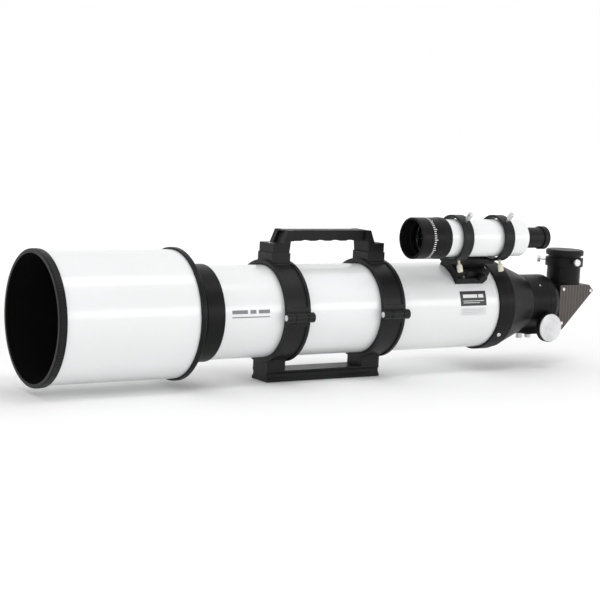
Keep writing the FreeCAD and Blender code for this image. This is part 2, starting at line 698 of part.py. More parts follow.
def focuser_body():
    barrel = cylinder(body_radius, d.body_length, cone_rear)
    half = d.base_width / 2
    base = block((cone_rear, cone_rear + d.base_length), (-half, half), (-base_depth, -base_depth / 2))
    solid = fused(barrel, base)
    tools = [cylinder(d.drawtube_radius + 2 * d.slide_gap, d.body_length + 20, cone_rear - 5),
             block((cone_rear - 5, cone_rear + d.base_length + 5),
                   (-d.track_width / 2 - d.slide_gap, d.track_width / 2 + d.slide_gap),
                   (-(d.drawtube_radius + d.track_height + d.slide_gap), -base_depth / 4)),
             cylinder(d.shaft_radius + d.running_gap, 2 * body_radius, shaft_x, -body_radius, shaft_z, "Y"),
             block((shaft_x - d.shaft_radius - 1, shaft_x + d.shaft_radius + 1),
                   (-d.track_width / 2 - 1, d.track_width / 2 + 1), (shaft_z, -base_depth / 4))]
    keep_out = cylinder(body_radius + d.slide_gap * 2, d.base_length, body_rear)
    for place in thumb_places():
        tools.append(cylinder(d.thumb_stem_radius + d.running_gap, base_depth, place, 0,
                              -base_depth - 1, "Z"))
    pocket = d.roller_width / 2 + d.slide_gap
    pins = []
    for x, angle, _ in roller_spots():
        well = [(-pocket, 0), (-pocket, d.roller_radius + 0.6), (pocket, d.roller_radius + 0.6), (pocket, 0)]
        tools.append(crosswise(well, angle, roller_distance(), x))
        pin = [(-pocket - 1, 0), (-pocket - 1, d.roller_hole), (pocket + 1, d.roller_hole), (pocket + 1, 0)]
        pins.append(crosswise(pin, angle, roller_distance(), x))
    finish(fused(cut(solid, keep_out, *tools), *pins), "focuser_body")


def rollers():
    half = d.roller_width / 2
    hole = d.roller_hole + d.running_gap
    for x, angle, name in roller_spots():
        rim = d.roller_radius
        roller = aimed(turned([(-half, hole), (-half, rim), (half, rim), (half, hole)]), across(angle))
        finish_aimed(roller, name, x, -roller_distance() * sine(angle),
                     axis_height + roller_distance() * cosine(angle))


def drawtube():
    start = cone_rear - d.drawtube_front
    bore = d.drawtube_bore
    outer = body_radius
    shell = turned([(start, bore), (start, d.drawtube_radius), (collar_start, d.drawtube_radius),
                    (collar_start, outer), (collar_end - 12, outer),
                    (collar_end, outer - d.collar_chamfer), (collar_end, bore)])
    half = d.track_width / 2
    track = block((start, collar_start), (-half, half),
                  (-(d.drawtube_radius + d.track_height), -(d.drawtube_bore + 1)))
    screw = cylinder(d.clamp_stem_radius + d.running_gap, 60, collar_start + 8, 0, 0, "Y")
    finish(cut(fused(shell, track), screw), "drawtube")


def drawtube_screw():
    """Thumbscrew in the drawtube's collar, on the side away from the hinges."""
    outer = body_radius
    screw = thumb_screw(d.drawtube_bore + 0.2, outer + 5, d.clamp_stem_radius,
                        d.clamp_head_radius, d.clamp_head_length + 2)
    finish_aimed(aimed(screw, (0, 1, 0)), "drawtube_screw", collar_start + 8, 0, axis_height)


def thumb_screw(start, end, stem_radius, head_radius, head_length):
    """A thumbscrew along +X: its stem from start to end, then its knurled head."""
    return turned([(start, 0), (start, stem_radius), (end, stem_radius), (end, head_radius - 0.8),
                   (end + 0.8, head_radius), (end + head_length - 0.8, head_radius),
                   (end + head_length, head_radius - 0.8), (end + head_length, 0)])


def focus_drive():
    reach = knob_stand + d.knob_disc_length - 3
    finish(cylinder(d.shaft_radius, 2 * reach, 0, 0, 0, "Y"), "focus_shaft",
           x=shaft_x, y=-reach, z=axis_height + shaft_z)
    discs = []
    for side in (-1, 1):
        rim = d.knob_disc_radius
        end = d.knob_disc_length
        hub = d.knob_hub_radius
        disc = turned([(-d.knob_hub_length, d.shaft_radius + d.seat_gap), (-d.knob_hub_length, hub),
                       (0, hub), (0, rim - 1.5), (1.5, rim),
                       (end - 2, rim), (end, rim - 2), (end, 0), (end - 3 + 0.05, 0),
                       (end - 3 + 0.05, d.shaft_radius + d.seat_gap)])
        discs.append(aimed(disc, (0, side, 0), shaft_x, side * knob_stand, shaft_z))
    finish(group(*discs), "focus_knobs")


def thumb_places():
    """X of the two thumbscrews under the focuser's base."""
    last = shaft_x + 1.5
    return [last - d.thumb_spacing, last]


def base_thumbscrews():
    tips = (base_depth - d.drawtube_radius - d.track_height - 0.5,
            base_depth + shaft_z - d.shaft_radius - 0.3)
    for place, tip, name in zip(thumb_places(), tips, ("lock_screw", "tension_screw")):
        screw = thumb_screw(-tip, 0.4, d.thumb_stem_radius, d.thumb_head_radius, d.thumb_head_length)
        finish_aimed(aimed(screw, (0, 0, -1)), name, place, 0, axis_height - base_depth)


# ----------------------------------------------------------------- star diagonal
def diagonal_outline():
    """Side view of the diagonal's box, with the eyepiece's axis at x = 0."""
    front = -d.diagonal_front
    top = d.diagonal_top
    back = d.diagonal_back
    low = -d.diagonal_drop
    nip = d.diagonal_chamfer
    heel = back - (top - nip - low)
    return [(front, low + nip), (front, top), (back - nip, top), (back, top - nip), (heel, low)]


def diagonal():
    box = slab(diagonal_outline(), 2 * d.diagonal_half_width)
    path = cylinder(d.light_path_radius, d.diagonal_front + 5, -d.diagonal_front - 5)
    rise = cylinder(d.light_path_radius, d.diagonal_top + 5, 0, 0, 0, "Z")
    inner = back_crossing() - d.back_plate * DIAGONAL_STEP
    pocket = sloped(-0.1, inner / DIAGONAL_STEP + 1, d.mirror_length + 0.4, d.mirror_width + 0.4)
    behind = sloped(inner, 40, 200, 3 * d.diagonal_half_width)
    finish(cut(box, path, rise, pocket, behind), "diagonal_housing", x=diagonal_x)
    side_plates()
    plate_screws()
    nose = turned([(-d.nosepiece_length, d.nosepiece_bore), (-d.nosepiece_length, d.nosepiece_radius),
                   (-0.5, d.nosepiece_radius), (-0.5, d.nosepiece_radius + 3),
                   (0, d.nosepiece_radius + 3), (0, d.nosepiece_bore)])
    finish(nose, "diagonal_nosepiece", x=diagonal_face)
    eyepiece_holder()


def side_plates():
    plates = []
    for side in (-1, 1):
        holes = [cylinder(d.plate_screw_radius, 10, x, -5, z, "Y") for x, z in plate_screw_spots()]
        plates.append(cut(slab(diagonal_outline(), d.side_plate), *holes))
        move(plates[-1], 0, side * (d.diagonal_half_width + d.side_plate / 2))
    finish(group(*plates), "diagonal_side_plates", x=diagonal_x)


DIAGONAL_STEP = math.sqrt(2)    # along X, across a plate at 45 degrees one unit thick


def back_crossing():
    """Where the box's sloping back, carried on, crosses the optical axis."""
    return d.diagonal_back - (d.diagonal_top - d.diagonal_chamfer)


def sloped(start, thickness, length, width, slide=0):
    """A plate at 45 degrees whose front crosses the axis at x = start, moved down the slope."""
    half = length * (DIAGONAL_STEP / 4)
    step = thickness * (DIAGONAL_STEP / 2)
    down = slide * (DIAGONAL_STEP / 2)
    return slab([(start - half - down, -half - down), (start + half - down, half - down),
                 (start + step + half - down, half - step - down),
                 (start + step - half - down, -half - step - down)], width)


def plate_screw_spots():
    inset = d.plate_screw_inset
    nip = d.diagonal_chamfer
    return [(-d.diagonal_front + inset, d.diagonal_top - inset),
            (d.diagonal_back - inset, d.diagonal_top - nip),
            (-d.diagonal_front + inset, -d.diagonal_drop + nip + 1)]


def plate_screws():
    face = d.diagonal_half_width + d.side_plate
    screws = []
    for side in (-1, 1):
        for x, z in plate_screw_spots():
            screw = turned([(-d.side_plate, 0), (-d.side_plate, d.plate_screw_radius - 0.05),
                            (0, d.plate_screw_radius - 0.05), (0, d.plate_screw_radius + 0.8),
                            (d.plate_screw_head, d.plate_screw_radius + 0.4), (d.plate_screw_head, 0)])
            screws.append(aimed(screw, (0, side, 0), x, side * face, z))
    finish(group(*screws), "diagonal_plate_screws", x=diagonal_x)


def mirror_and_plate():
    finish(sloped(0, d.mirror_thickness, d.mirror_length, d.mirror_width), "diagonal_mirror", x=diagonal_x)
    mirror_rear = d.mirror_thickness * DIAGONAL_STEP
    inner = back_crossing() - d.back_plate * DIAGONAL_STEP
    pad = sloped(mirror_rear, (inner - mirror_rear) / DIAGONAL_STEP + 0.5, 44, d.mirror_width - 8)
    fall = d.diagonal_drop + d.diagonal_top - d.diagonal_chamfer
    slide = (d.diagonal_drop - d.diagonal_top + d.diagonal_chamfer) / DIAGONAL_STEP
    plate = sloped(inner, d.back_plate, (fall - 2 * d.back_plate) * DIAGONAL_STEP,
                   2 * d.diagonal_half_width, slide)
    finish(fused(plate, pad), "diagonal_back_plate", x=diagonal_x)


def eyepiece_holder():
    low = d.diagonal_top
    waist = low + d.holder_height
    bore = d.holder_bore
    profile = [(low, d.light_path_radius), (low, d.holder_radius), (waist, d.holder_radius),
               (waist, d.holder_collar_radius), (holder_top, d.holder_collar_radius),
               (holder_top, bore), (low + 4, bore), (low + 4, d.light_path_radius)]
    holder = aimed(turned(profile), (0, 0, 1))
    holes = []
    for angle in clamp_angles():
        drill = turned([(bore - 2, 0), (bore - 2, d.clamp_stem_radius + d.running_gap),
                        (bore + 20, d.clamp_stem_radius + d.running_gap), (bore + 20, 0)])
        holes.append(aimed(drill, level(angle), 0, 0, clamp_height()))
    finish(cut(holder, *holes), "eyepiece_holder", x=diagonal_x)


def clamp_angles():
    """Directions of the two eyepiece clamp screws, from +X towards +Y."""
    return (138, 258)


def clamp_height():
    return holder_top - d.holder_collar_height / 2 + 2


def level(angle):
    return (math.cos(math.radians(angle)), math.sin(math.radians(angle)), 0)


def eyepiece_screws():
    for angle, name in zip(clamp_angles(), ("left", "right")):
        screw = thumb_screw(d.nosepiece_radius + 0.45, d.holder_collar_radius + d.clamp_stem_out,
                            d.clamp_stem_radius, d.clamp_head_radius, d.clamp_head_length)
        finish_aimed(aimed(screw, level(angle)), f"eyepiece_screw_{name}", diagonal_x, 0,
                     axis_height + clamp_height())


def dust_plug():
    low = holder_top - d.plug_insert
    flange = holder_top + d.plug_neck
    top = flange + d.plug_flange_height
    rim = d.plug_flange_radius
    plug = turned([(low, d.nosepiece_radius - 2.5), (low, d.nosepiece_radius),
                   (holder_top + 0.3, d.nosepiece_radius), (holder_top + 0.3, rim - 4),
                   (flange, rim - 4), (flange, rim), (top - 1.5, rim), (top, rim - 1.5),
                   (top, 0), (top - 3, 0), (top - 3, d.nosepiece_radius - 2.5)])
    finish_aimed(aimed(plug, (0, 0, 1)), "dust_plug", diagonal_x, 0, axis_height)


# ------------------------------------------------------------------ finder scope
def finder_pieces():
    finder_shoe()
    finder_bracket()
    finder_optics()
    aim_screws()


def finder_shoe():
    start, end = shoe_start, shoe_end
    half = d.shoe_width / 2
    floor = tube_radius + d.shoe_base
    rail = d.dovetail_bottom / 2 + 5
    bend = end - d.shoe_corner
    corner = half - d.shoe_corner
    low = tube_radius - 12
    plate = fused(block((start, bend), (-half, half), (low, floor)),
                  block((start, end), (-corner, corner), (low, floor)),
                  *[cylinder(d.shoe_corner, floor - low, bend, side * corner, low, "Z") for side in (-1, 1)])
    walls = block((start, end), (-rail, rail), (tube_radius - 2, floor + d.shoe_wall))
    channel = slab(dovetail_channel(floor), d.shoe_length + 10, "YZ_Plane")
    move(channel, (start + end) / 2)
    tools = [channel, cylinder(tube_radius + d.seat_gap, d.shoe_length + 10, start - 5)]
    for x, y in shoe_screw_spots():
        tools.append(shoe_drill(x, y))
        tools.append(cylinder(d.mount_screw_cap + 0.1, 20, x, y, floor - d.shoe_screw_sink - 0.1, "Z"))
    tools.append(cylinder(2 + d.running_gap, 40, start + d.shoe_screw_place, -rail - 20,
                          floor + d.shoe_screw_rise, "Y"))
    finish(cut(fused(plate, walls), *tools), "finder_shoe", turn=d.finder_angle)
    shoe_screws()
    shoe_clamp()


def shoe_drill(x, y):
    """Clearance for one of the shoe's mounting screws, in the shoe's own frame."""
    return cylinder(d.mount_screw_radius + d.seat_gap, 40, x, y, tube_radius - 20, "Z")


def dovetail_channel(floor):
    """Section in Y and Z of the shoe's channel, which is open at its top."""
    wide = d.dovetail_bottom / 2 + d.slide_gap
    narrow = d.dovetail_top / 2 + d.slide_gap
    waist = floor + d.slide_gap + d.dovetail_height
    high = floor + d.shoe_wall + 6
    return [(-wide, floor), (wide, floor), (narrow, waist), (narrow, high), (-narrow, high), (-narrow, waist)]


def dovetail_foot(floor):
    """Section in Y and Z of the bracket's foot, which slides in that channel."""
    wide, narrow = d.dovetail_bottom / 2, d.dovetail_top / 2
    low, top = floor + d.slide_gap, floor + d.dovetail_height
    return [(-wide, low), (wide, low), (narrow, top), (-narrow, top)]


def shoe_screw_spots():
    """Two screws beside the channel at the front and one in its floor at the rear."""
    aside = d.shoe_width / 2 - 4.2
    return [(shoe_start + 15, -aside), (shoe_start + 15, aside), (shoe_end - 12, 0)]


def shoe_screws():
    floor = tube_radius + d.shoe_base
    screws = []
    for x, y in shoe_screw_spots():
        cap, stem = d.mount_screw_cap, d.mount_screw_radius
        screw = turned([(-2.2, 0), (-2.2, 1), (-2.6, 1), (-2.6, cap - 0.6), (0, cap), (0, stem),
                        (9, stem), (9, 0)])
        screws.append(aimed(screw, (0, 0, -1), x, y, floor - d.shoe_screw_sink))
    finish(group(*screws), "finder_shoe_screws", turn=d.finder_angle)


def shoe_clamp():
    """Thumbscrew that clamps the finder's dovetail in the shoe, on the -Y side."""
    floor = tube_radius + d.shoe_base
    start = d.dovetail_bottom / 2 - 1
    angle = d.finder_angle
    screw = thumb_screw(start, d.shoe_width / 2 + 1, 2, d.shoe_screw_head, 8)
    turn = math.radians(number(angle))
    direction = (0, -math.cos(turn), -math.sin(turn))
    distance = floor + d.shoe_screw_rise
    finish_aimed(aimed(screw, direction), "finder_shoe_screw", shoe_start + d.shoe_screw_place,
                 -distance * sine(angle), axis_height + distance * cosine(angle))


def ring_starts():
    front = shoe_start - d.front_ring_lead
    return (front, front + d.finder_ring_pitch)


def finder_bracket():
    floor = tube_radius + d.shoe_base
    start, end = shoe_start, shoe_end
    first, last = ring_starts()
    foot = slab(dovetail_foot(floor), d.shoe_length, "YZ_Plane")
    move(foot, (start + end) / 2)
    bar_top = d.finder_height - finder_ring_inner - 1
    bar_low = d.finder_height - finder_ring_outer - d.bracket_bar_height
    stem = block((start + 4, end - 4), (-d.bracket_stem / 2, d.bracket_stem / 2),
                 (floor + d.dovetail_height - 1, bar_low + 1))
    bar = block((first, last + d.finder_ring_width),
                (-d.bracket_bar_width / 2, d.bracket_bar_width / 2), (bar_low, bar_top))
    parts = [foot, stem, bar]
    holes = [cylinder(finder_ring_inner, 2 * d.finder_ring_pitch, first - 20, 0, d.finder_height)]
    for ring in ring_starts():
        parts.append(cylinder(finder_ring_outer, d.finder_ring_width, ring, 0, d.finder_height))
        for angle in aim_angles():
            reach = d.aim_stem_radius + d.running_gap
            drill = turned([(d.finder_radius, 0), (d.finder_radius, reach),
                            (finder_ring_outer + 5, reach), (finder_ring_outer + 5, 0)])
            holes.append(finder_radial(drill, angle, ring + d.finder_ring_width / 2))
    finish(cut(fused(*parts), *holes), "finder_bracket", turn=d.finder_angle)


def aim_angles():
    """Directions of the aiming screws in a ring, from the bracket's up towards -Y."""
    return [SIZES["aim_turn"] + 120 * step for step in range(3)]


def finder_radial(body, angle, x):
    """Points a body outwards from the finder's axis, in the bracket's own frame."""
    direction = (0, -math.sin(math.radians(angle)), math.cos(math.radians(angle)))
    return aimed(body, direction, x, 0, d.finder_height)


def aim_screws():
    tilt = d.finder_angle
    for ring, end in zip(ring_starts(), ("front", "rear")):
        for angle, name in zip(aim_angles(), ("top", "near", "far")):
            total = math.radians(angle + number(tilt))
            screw = thumb_screw(d.finder_radius + 0.3, finder_ring_outer + d.aim_stem_out,
                                d.aim_stem_radius, d.aim_head_radius, d.aim_head_length)
            finish_aimed(aimed(screw, (0, -math.sin(total), math.cos(total))),
                         f"aim_screw_{end}_{name}", ring + d.finder_ring_width / 2,
                         -d.finder_height * sine(tilt), axis_height + d.finder_height * cosine(tilt))


def on_finder(body, label):
    """Sets a piece turned about the finder's axis into the frame."""
    finish(body, label, y=-d.finder_height * sine(d.finder_angle),
           z=axis_height + d.finder_height * cosine(d.finder_angle))


def finder_optics():
    outer = d.finder_radius
    inner = outer - d.finder_wall
    front = finder_cell_rear - 18
    rear = finder_rear
    tail = rear - d.finder_tail_chamfer
    shell = turned([(front, inner), (front, outer), (tail, outer), (rear, outer - d.finder_tail_chamfer),
                    (rear, d.ocular_radius - 3), (rear - 4, d.ocular_radius - 3), (rear - 4, inner - 3),
                    (rear - 8, inner)])
    on_finder(shell, "finder_tube")
    cell = outer + d.finder_cell_wall
    bore = outer + d.running_gap
    lens = outer - d.finder_lens_step
    seat = front - d.finder_focus - 6
    barrel = turned([(finder_front, lens + 2.5), (finder_front, cell - 1), (finder_front + 1, cell),
                     (finder_cell_rear - 1, cell), (finder_cell_rear, cell - 1), (finder_cell_rear, bore),
                     (front - d.finder_focus - 1, bore), (front - d.finder_focus - 1, lens - 2),
                     (seat, lens - 2), (seat, lens + d.seat_gap), (seat - 9, lens + d.seat_gap),
                     (seat - 9, lens + 2.5)])
    on_finder(barrel, "finder_cell")
    glass = turned([(seat - 8, 0), (seat - 7.4, 10), (seat - 5.5, 20), (seat - 4, lens), (seat, lens),
                    (seat, 0)])
    on_finder(glass, "finder_lens")
    tube_end = rear + d.ocular_length
    ocular = turned([(rear - 12, d.ocular_bore), (rear - 12, d.ocular_radius - 3 - d.seat_gap),
                     (rear, d.ocular_radius - 3 - d.seat_gap), (rear, d.ocular_radius),
                     (tube_end, d.ocular_radius), (tube_end, d.eyecup_radius),
                     (tube_end + d.eyecup_length - 1, d.eyecup_radius),
                     (tube_end + d.eyecup_length, d.eyecup_radius - 1),
                     (tube_end + d.eyecup_length, d.eyecup_radius - 3),
                     (tube_end, d.ocular_bore)])
    on_finder(ocular, "finder_eyepiece")


# ---------------------------------------------------------------- make everything
cradle()
upper_half()
main_tube()
lens_cell()
objective()
tube_baffles()
dew_shield()
rear_cell()
rear_cell_screws()
focuser_adapter()
focuser_body()
rollers()
drawtube()
drawtube_screw()
focus_drive()
base_thumbscrews()
diagonal()
mirror_and_plate()
eyepiece_screws()
dust_plug()
finder_pieces()
doc.recompute()

for obj in doc.Objects:
    if "Invalid" in obj.State or "Error" in obj.State:
        raise RuntimeError(f"{obj.Name} ({obj.Label}) did not build: {obj.State}")
os.makedirs("parts", exist_ok=True)
for piece in pieces:
    if piece.Shape.isNull() or not piece.Shape.isValid():
        raise RuntimeError(f"{piece.Label} has no valid shape")
    piece.Shape.exportStep(f"parts/{piece.Label}.step")
print(f"{len(pieces)} nodes written, axis at {number(axis_height):.1f} mm")
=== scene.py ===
"""Looks of a refractor telescope on its hinged-ring cradle: materials, detail pieces, light and camera.

Frame: metres, +X from the objective towards the eyepiece, +Z up, -Y the side of the hinges and the finder.
"""
import json
import math
import bmesh
import bpy
from mathutils import Matrix, Vector


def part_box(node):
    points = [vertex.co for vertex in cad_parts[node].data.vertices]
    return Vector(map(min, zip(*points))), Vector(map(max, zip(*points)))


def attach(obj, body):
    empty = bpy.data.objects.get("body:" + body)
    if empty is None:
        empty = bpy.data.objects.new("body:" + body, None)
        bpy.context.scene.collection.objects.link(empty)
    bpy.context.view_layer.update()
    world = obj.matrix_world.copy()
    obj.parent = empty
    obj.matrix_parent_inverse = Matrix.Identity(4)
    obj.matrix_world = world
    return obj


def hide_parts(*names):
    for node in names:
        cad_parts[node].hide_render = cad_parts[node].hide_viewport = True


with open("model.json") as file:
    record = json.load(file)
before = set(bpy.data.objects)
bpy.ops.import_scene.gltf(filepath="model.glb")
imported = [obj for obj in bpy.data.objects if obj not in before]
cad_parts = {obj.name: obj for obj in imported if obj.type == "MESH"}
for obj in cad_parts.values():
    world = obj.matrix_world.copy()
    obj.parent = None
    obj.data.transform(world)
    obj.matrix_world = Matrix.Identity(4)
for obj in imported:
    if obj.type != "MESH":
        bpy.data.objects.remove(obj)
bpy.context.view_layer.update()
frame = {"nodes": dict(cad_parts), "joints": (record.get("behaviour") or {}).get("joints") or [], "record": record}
NODES = frame["nodes"]
MM = 0.001
EDGE_SOFTNESS = 0.6 * MM


# ------------------------------------------------------------------- places from the frame
def middle(node):
    """The centre of a node's box."""
    low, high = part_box(node)
    return (Vector(low) + Vector(high)) / 2


def size(node):
    """The lengths of a node's box."""
    low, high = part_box(node)
    return Vector(high) - Vector(low)


AXIS = middle("main_tube")
TUBE_RADIUS = size("main_tube").z / 2
BODY_RADIUS = size("focuser_body").y / 2
FINDER_TURN = math.radians(33.0)
SLOT_OF = {part["node"]: part["material_slot"] for part in frame["record"]["subparts"]}
MARK_GAP = 0.02 * MM                  # a printed mark stands this far off the tube
CREASE = math.radians(35.0)           # an edge sharper than this keeps a hard line in the shading
SHIELD_WALL = 1.6 * MM
TUBE_WALL = 2.0 * MM
FINDER_WALL = 1.55 * MM


def half_height(node):
    """The radius of a round piece that lies along X."""
    return size(node).z / 2


def main_axis():
    """A place on the main tube's axis, at X = 0."""
    return Vector((0.0, AXIS.y, AXIS.z))


def finder_axis():
    """A place on the finder's axis, at X = 0."""
    spot = middle("finder_cell")
    return Vector((0.0, spot.y, spot.z))


def upright_at(node):
    """A matrix whose own X axis points up, on a node's centre line."""
    centre = middle(node)
    return frame_along(Vector((centre.x, centre.y, 0.0)), (0, 0, 1))


# ------------------------------------------------------------------------------- materials
def blank(name):
    """A new material, its node tree's maker and its Principled shader."""
    material = bpy.data.materials.new(name)
    material.use_nodes = True
    tree = material.node_tree
    return material, tree, tree.nodes["Principled BSDF"]


def add(tree, kind, links=None, **values):
    """Adds a node; values set its own properties, links its inputs."""
    node = tree.nodes.new(kind)
    for name, value in values.items():
        setattr(node, name, value)
    for socket, item in (links or {}).items():
        feed(tree, item, node.inputs[socket])
    return node


def feed(tree, item, socket):
    """Links an input to another node's output, or gives it a plain value."""
    if isinstance(item, bpy.types.NodeSocket):
        tree.links.new(item, socket)
    else:
        socket.default_value = item


def place(tree):
    """The place on the object."""
    return add(tree, "ShaderNodeTexCoord").outputs["Object"]


def stretched(tree, scale):
    """The place on the object, stretched along its axes."""
    return add(tree, "ShaderNodeMapping", {"Vector": place(tree), "Scale": scale}).outputs["Vector"]


def noise(tree, where, scale, detail=3.0, roughness=0.55):
    """Cloudy noise from 0 to 1."""
    return add(tree, "ShaderNodeTexNoise", {"Vector": where, "Scale": scale, "Detail": detail,
                                            "Roughness": roughness}).outputs["Fac"]


def ranged(tree, value, low, high, new_low=0.0, new_high=1.0):
    """Stretches low..high to new_low..new_high, and holds it at the ends."""
    return add(tree, "ShaderNodeMapRange", {"Value": value, "From Min": low, "From Max": high,
                                            "To Min": new_low, "To Max": new_high}).outputs["Result"]


def mixed(tree, amount, first, second):
    """A colour between two colours."""
    node = add(tree, "ShaderNodeMix", data_type="RGBA")
    feed(tree, amount, node.inputs["Factor"])
    feed(tree, first, node.inputs["A"])
    feed(tree, second, node.inputs["B"])
    return [item for item in node.outputs if item.type == "RGBA"][0]


def bumped(tree, shader, height, strength, distance, round_edge=None):
    """Puts a height in the shader's bump, over rounded edges where they are given."""
    node = add(tree, "ShaderNodeBump", {"Height": height, "Strength": strength, "Distance": distance})
    if round_edge is not None:
        tree.links.new(round_edge, node.inputs["Normal"])
    tree.links.new(node.outputs["Normal"], shader.inputs["Normal"])


def softened(tree, radius):
    """The surface's direction with its sharp edges rounded off."""
    return add(tree, "ShaderNodeBevel", {"Radius": radius}, samples=4).outputs["Normal"]


def edge_wear_and_painted_highlight(tree, colour, rubbed_and_highlit_colour, amount, rounded):
    """Lightens sharp edges where the rounded direction leaves the true one: partly rubbed wear, partly a painted
    edge highlight.
    """
    flat = add(tree, "ShaderNodeNewGeometry").outputs["Normal"]
    same = add(tree, "ShaderNodeVectorMath", {0: rounded, 1: flat}, operation="DOT_PRODUCT").outputs["Value"]
    return mixed(tree, ranged(tree, same, 0.985, 0.86, 0.0, amount), colour, rubbed_and_highlit_colour)


def painted(name, colour, spot, roughness, grain, grain_depth, coat=0.0, edge_rub_and_highlight=0.0, gloss=0.5):
    """A painted or anodised finish: fine grain in the bump, slow changes of colour and gloss, and where asked
    lighter sharp edges, partly rubbed wear and partly a painted edge highlight.
    """
    material, tree, shader = blank(name)
    where = place(tree)
    slow = noise(tree, where, 9.0, 4.0)
    fine = noise(tree, where, grain, 2.0)
    shade = mixed(tree, ranged(tree, slow, 0.35, 0.65), colour, spot)
    rounded = None
    if edge_rub_and_highlight:
        rounded = softened(tree, EDGE_SOFTNESS)
        # sharp edges lightened: partly rubbed wear, partly a painted edge highlight
        shade = edge_wear_and_painted_highlight(tree, shade, tuple(c * 3 + 0.03 for c in colour[:3]) + (1,), edge_rub_and_highlight, rounded)
    feed(tree, shade, shader.inputs["Base Color"])
    smudge = noise(tree, where, 26.0, 5.0, 0.65)
    feed(tree, ranged(tree, smudge, 0.3, 0.7, roughness * 0.88, roughness * 1.14), shader.inputs["Roughness"])
    shader.inputs["Coat Weight"].default_value = coat
    shader.inputs["Coat Roughness"].default_value = 0.12
    shader.inputs["Specular IOR Level"].default_value = gloss
    bumped(tree, shader, fine, 0.35, grain_depth, rounded)
    return material


def brushed(name, colour, roughness, scale):
    """Turned metal: fine lines drawn out along one axis."""
    material, tree, shader = blank(name)
    lines = noise(tree, stretched(tree, scale), 1.0, 3.0)
    cloud = noise(tree, place(tree), 60.0, 3.0)
    dark = tuple(c * 0.82 for c in colour[:3]) + (1,)
    feed(tree, mixed(tree, ranged(tree, cloud, 0.35, 0.7), colour, dark), shader.inputs["Base Color"])
    feed(tree, ranged(tree, lines, 0.3, 0.7, roughness * 0.75, roughness * 1.3), shader.inputs["Roughness"])
    shader.inputs["Metallic"].default_value = 1.0
    bumped(tree, shader, lines, 0.25, 0.00004)
    return material


def felt():
    """Black felt with a faint sheen and short fibres."""
    material, tree, shader = blank("felt")
    fibre = noise(tree, place(tree), 1600.0, 4.0, 0.7)
    shade = mixed(tree, fibre, (0.012, 0.012, 0.013, 1), (0.04, 0.04, 0.042, 1))
    feed(tree, shade, shader.inputs["Base Color"])
    shader.inputs["Roughness"].default_value = 0.96
    shader.inputs["Sheen Weight"].default_value = 0.35
    shader.inputs["Sheen Roughness"].default_value = 0.5
    bumped(tree, shader, fibre, 0.6, 0.0003)
    return material


def carbon():
    """Dark plate with fine upright pale lines and a faint cross weave."""
    material, tree, shader = blank("carbon_plate")
    where = place(tree)
    apart = add(tree, "ShaderNodeSeparateXYZ", {"Vector": where})
    pitch = 6.5 * MM
    across = add(tree, "ShaderNodeMath", {0: apart.outputs["X"], 1: pitch}, operation="MODULO").outputs[0]
    line = ranged(tree, across, pitch - 1.3 * MM, pitch - 0.5 * MM)
    weave = add(tree, "ShaderNodeTexWave", {"Vector": where, "Scale": 420.0, "Distortion": 1.5,
                                            "Detail": 2.0}, bands_direction="Z").outputs["Fac"]
    cloud = noise(tree, where, 90.0, 4.0)
    ground = mixed(tree, cloud, (0.028, 0.020, 0.017, 1), (0.050, 0.038, 0.032, 1))
    ground = mixed(tree, ranged(tree, weave, 0.3, 1.0, 0.0, 0.3), ground, (0.07, 0.055, 0.048, 1))
    feed(tree, mixed(tree, ranged(tree, line, 0.0, 1.0, 0.0, 0.55), ground, (0.17, 0.145, 0.13, 1)),
         shader.inputs["Base Color"])
    feed(tree, ranged(tree, weave, 0.0, 1.0, 0.38, 0.5), shader.inputs["Roughness"])
    shader.inputs["Coat Weight"].default_value = 0.2
    bumped(tree, shader, line, 0.5, 0.0003)
    return material


def coated_glass():
    """Clear glass with a faint green coat; the smudges are in its gloss."""
    material, tree, shader = blank("coated_glass")
    smear = noise(tree, place(tree), 22.0, 4.0)
    feed(tree, mixed(tree, smear, (0.80, 0.90, 0.88, 1), (0.74, 0.85, 0.84, 1)), shader.inputs["Base Color"])
    feed(tree, ranged(tree, smear, 0.4, 0.8, 0.01, 0.05), shader.inputs["Roughness"])
    shader.inputs["Transmission Weight"].default_value = 1.0
    shader.inputs["IOR"].default_value = 1.45
    return material


def front_mirror():
    """The diagonal's mirror, silver with a little dust."""
    material, tree, shader = blank("front_mirror")
    dust = noise(tree, place(tree), 240.0, 5.0)
    feed(tree, mixed(tree, dust, (0.90, 0.91, 0.92, 1), (0.86, 0.87, 0.88, 1)), shader.inputs["Base Color"])
    feed(tree, ranged(tree, dust, 0.4, 0.8, 0.02, 0.06), shader.inputs["Roughness"])
    shader.inputs["Metallic"].default_value = 1.0
    return material


def printed(name, ink, ground):
    """A printed film: ink with a faint paper grain."""
    material, tree, shader = blank(name)
    grain = noise(tree, place(tree), 900.0, 2.0)
    feed(tree, mixed(tree, ranged(tree, grain, 0.3, 0.8), ink, ground), shader.inputs["Base Color"])
    feed(tree, ranged(tree, grain, 0.3, 0.7, 0.3, 0.42), shader.inputs["Roughness"])
    bumped(tree, shader, grain, 0.15, 0.00003)
    return material


